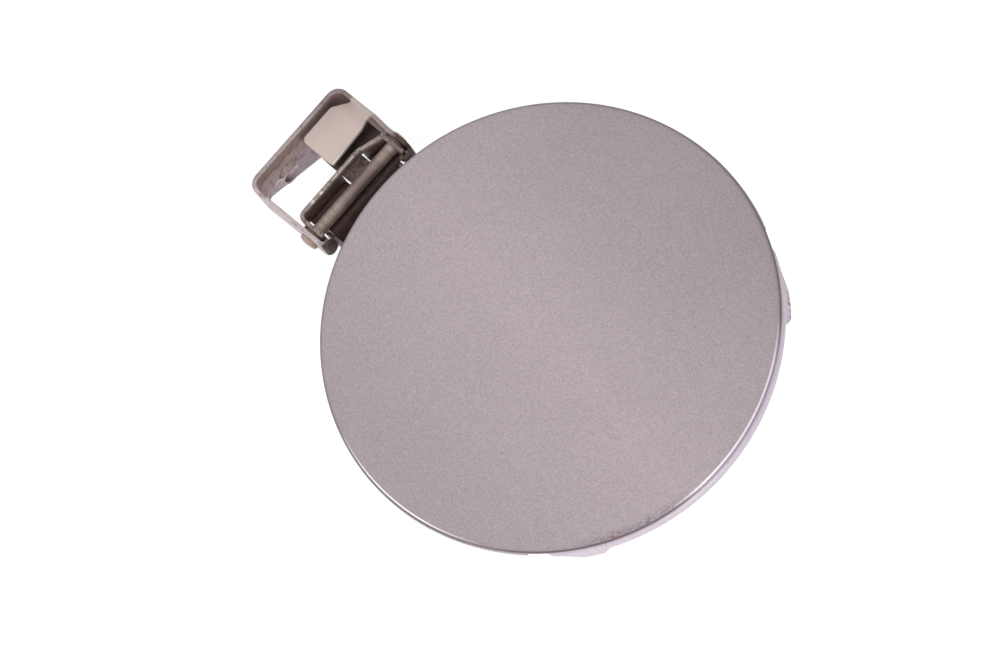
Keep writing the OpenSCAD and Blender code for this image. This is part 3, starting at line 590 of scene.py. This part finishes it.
def dressed(node):
    """A copy of a CAD solid, smooth and with its sheet edges rounded, which stands for it."""
    width = ROUNDED.get(node, 0.0)
    source = frame["nodes"][node]
    mesh = source.data.copy()
    bm = bmesh.new()
    bm.from_mesh(mesh)
    bmesh.ops.remove_doubles(bm, verts=bm.verts, dist=0.002 * MM)
    if width:
        # The flat faces become one face each, so that only true edges are rounded
        bmesh.ops.dissolve_limit(bm, angle_limit=math.radians(0.6), verts=bm.verts,
                                 edges=bm.edges)
    bm.to_mesh(mesh)
    bm.free()
    mesh.materials.clear()
    mesh.materials.append(MATS[SLOT_OF[node]])
    piece = bpy.data.objects.new(node + "_dressed", mesh)
    bpy.context.scene.collection.objects.link(piece)
    if width:
        bevel = piece.modifiers.new("edges", "BEVEL")
        bevel.width = width * MM
        bevel.segments = 2
        bevel.limit_method = "ANGLE"
        bevel.angle_limit = math.radians(38)
        bevel.harden_normals = False
    # The sharp edges are worked out on the finished mesh
    bpy.context.view_layer.update()
    graph = bpy.context.evaluated_depsgraph_get()
    piece.data = bpy.data.meshes.new_from_object(piece.evaluated_get(graph))
    piece.modifiers.clear()
    shade_smooth(piece.data, 32)
    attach(piece, source["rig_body"])
    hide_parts(node)


def skin_section():
    """Section of the painted panel as (radius, height), from above the middle to below it."""
    rim_round = 1.3 * MM
    depth = 2.2 * MM
    flat_r = DOOR_R - rim_round

    def dome(r):
        return CROWN * (1 - (r / DOOR_R) ** 2)

    def quarter(steps, radius, below):
        """Points down a quarter circle at the edge of the dome, the first at its top."""
        turns = [math.radians(90 * i / steps) for i in range(steps + 1)]
        return [(flat_r + radius * math.sin(a),
                 dome(flat_r) - below - radius * (1 - math.cos(a))) for a in turns]

    section = [(flat_r * i / 40, dome(flat_r * i / 40)) for i in range(1, 41)]
    section += quarter(8, rim_round, 0.0)[1:]
    section += [(DOOR_R, -depth + 0.2 * MM), (DOOR_R - 0.08 * MM, -depth),
                (DOOR_R - SKIN_T, -depth)]
    section += quarter(6, rim_round - SKIN_T, SKIN_T)[::-1]
    section += [(flat_r * i / 12, dome(flat_r * i / 12) - SKIN_T) for i in range(11, 0, -1)]
    return section


def painted_skin():
    """The painted panel turned from a fine section, with a true dome and rolled edge."""
    turns = 240
    around = [2 * math.pi * k / turns for k in range(turns)]
    bm = bmesh.new()
    top = bm.verts.new((0, 0, CROWN))
    rings = [[bm.verts.new((r * math.cos(a), r * math.sin(a), z)) for a in around]
             for r, z in skin_section()]
    below = bm.verts.new((0, 0, CROWN - SKIN_T))
    for k in range(turns):
        n = (k + 1) % turns
        bm.faces.new((top, rings[0][k], rings[0][n]))
        bm.faces.new((below, rings[-1][n], rings[-1][k]))
    for a, b in zip(rings, rings[1:]):
        for k in range(turns):
            n = (k + 1) % turns
            bm.faces.new((a[k], b[k], b[n], a[n]))
    bmesh.ops.translate(bm, verts=bm.verts, vec=DOOR)
    mesh = bpy.data.meshes.new("painted_skin")
    bm.to_mesh(mesh)
    bm.free()
    mesh.materials.append(MATS["outer_paint"])
    shade_smooth(mesh, 40)
    piece = bpy.data.objects.new("painted_skin", mesh)
    bpy.context.scene.collection.objects.link(piece)
    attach(piece, "door")
    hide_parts("outer_skin")


painted_skin()
for name in frame["nodes"]:
    if name != "outer_skin":
        dressed(name)


# Camera, floor and light

RIGHT = Vector((0.7225, 0.6547, -0.2209))    # what points right in the picture
TOWARDS = Vector((0.3626, -0.0804, 0.9285))  # against the view
FROM_DOOR = at(461.7, -118.1, 1209.6)        # the camera's place, from the face's middle
LENS = 134.2  # focal length, and width of the sensor, in millimetres
SENSOR = 36

# Name, place from the face's middle and size in metres, and power in watts: a large soft
# light overhead, a long strip on the latch side, and a low panel that faces the lower leg
LAMPS = (("key", (-0.42, 0.02, 1.15), (0.95, 0.95), 4.9),
         ("strip", (0.95, -0.1, 0.55), (0.16, 1.1), 7.5),
         ("panel", (-0.15, -1.0, 0.22), (0.9, 0.4), 5.0))


def add_camera():
    back = TOWARDS.normalized()
    right = (RIGHT - back * RIGHT.dot(back)).normalized()
    up = back.cross(right)
    turn = Matrix((right, up, back)).transposed().to_4x4()
    cam = bpy.data.objects.new("camera", bpy.data.cameras.new("camera"))
    cam.data.lens = LENS
    cam.data.sensor_width = SENSOR
    cam.data.clip_end = 10
    cam.matrix_world = Matrix.Translation(DOOR + FROM_DOOR) @ turn
    bpy.context.scene.collection.objects.link(cam)
    bpy.context.scene.camera = cam


def add_lamp(name, from_door, size, power):
    """A rectangular lamp that points at the middle of the painted face."""
    lamp = bpy.data.lights.new(name, "AREA")
    lamp.shape = "RECTANGLE"
    lamp.size, lamp.size_y = size
    lamp.energy = power
    obj = bpy.data.objects.new(name, lamp)
    obj.location = DOOR + Vector(from_door)
    obj.rotation_euler = (DOOR - obj.location).to_track_quat("-Z", "Y").to_euler()
    bpy.context.scene.collection.objects.link(obj)


def add_node(tree, kind, **inputs):
    made = tree.nodes.new(kind)
    for name, value in inputs.items():
        made.inputs[name].default_value = value
    return made


def show(tree, seen, lit, output):
    """Gives rays from the camera, from a mirror and through glass seen, all others lit."""
    path = tree.nodes.new("ShaderNodeLightPath")
    rays = path.outputs["Is Camera Ray"]
    for kind in ("Is Glossy Ray", "Is Transmission Ray"):
        either = tree.nodes.new("ShaderNodeMath")
        either.operation = "MAXIMUM"
        tree.links.new(rays, either.inputs[0])
        tree.links.new(path.outputs[kind], either.inputs[1])
        rays = either.outputs[0]
    pick = tree.nodes.new("ShaderNodeMixShader")
    for out, into in zip((rays, lit.outputs[0], seen.outputs[0]), pick.inputs):
        tree.links.new(out, into)
    tree.links.new(pick.outputs[0], tree.nodes[output].inputs["Surface"])


def add_floor(z):
    """A white floor: the camera and mirrors see it lit to white, other rays see plain grey."""
    bpy.ops.mesh.primitive_plane_add(size=6, location=(DOOR_X, DOOR_Y, z))
    floor = bpy.context.object
    floor.name = "floor"
    mat = bpy.data.materials.new("floor")
    mat.use_nodes = True
    tree = mat.node_tree
    tree.nodes.remove(tree.nodes["Principled BSDF"])
    grey = add_node(tree, "ShaderNodeBsdfDiffuse", Color=(0.78, 0.77, 0.77, 1))
    base = add_node(tree, "ShaderNodeBsdfDiffuse", Color=(0.6, 0.6, 0.6, 1))
    glow = add_node(tree, "ShaderNodeEmission", Strength=0.72)
    white = tree.nodes.new("ShaderNodeAddShader")
    tree.links.new(base.outputs[0], white.inputs[0])
    tree.links.new(glow.outputs[0], white.inputs[1])
    show(tree, white, grey, "Material Output")
    floor.data.materials.append(mat)


def add_world():
    """A white world to the camera and mirrors, and a weak even light to the rest."""
    world = bpy.data.worlds.new("world")
    bpy.context.scene.world = world
    world.use_nodes = True
    tree = world.node_tree
    tree.nodes.remove(tree.nodes["Background"])
    weak = add_node(tree, "ShaderNodeBackground", Color=(1, 1, 1, 1), Strength=0.22)
    white = add_node(tree, "ShaderNodeBackground", Color=(1, 1, 1, 1), Strength=1.0)
    show(tree, white, weak, "World Output")


add_camera()
add_floor(CAD_BOX[0].z - 0.5 * MM)
for lamp in LAMPS:
    add_lamp(*lamp)
add_world()
bpy.context.scene.view_settings.view_transform = "Standard"
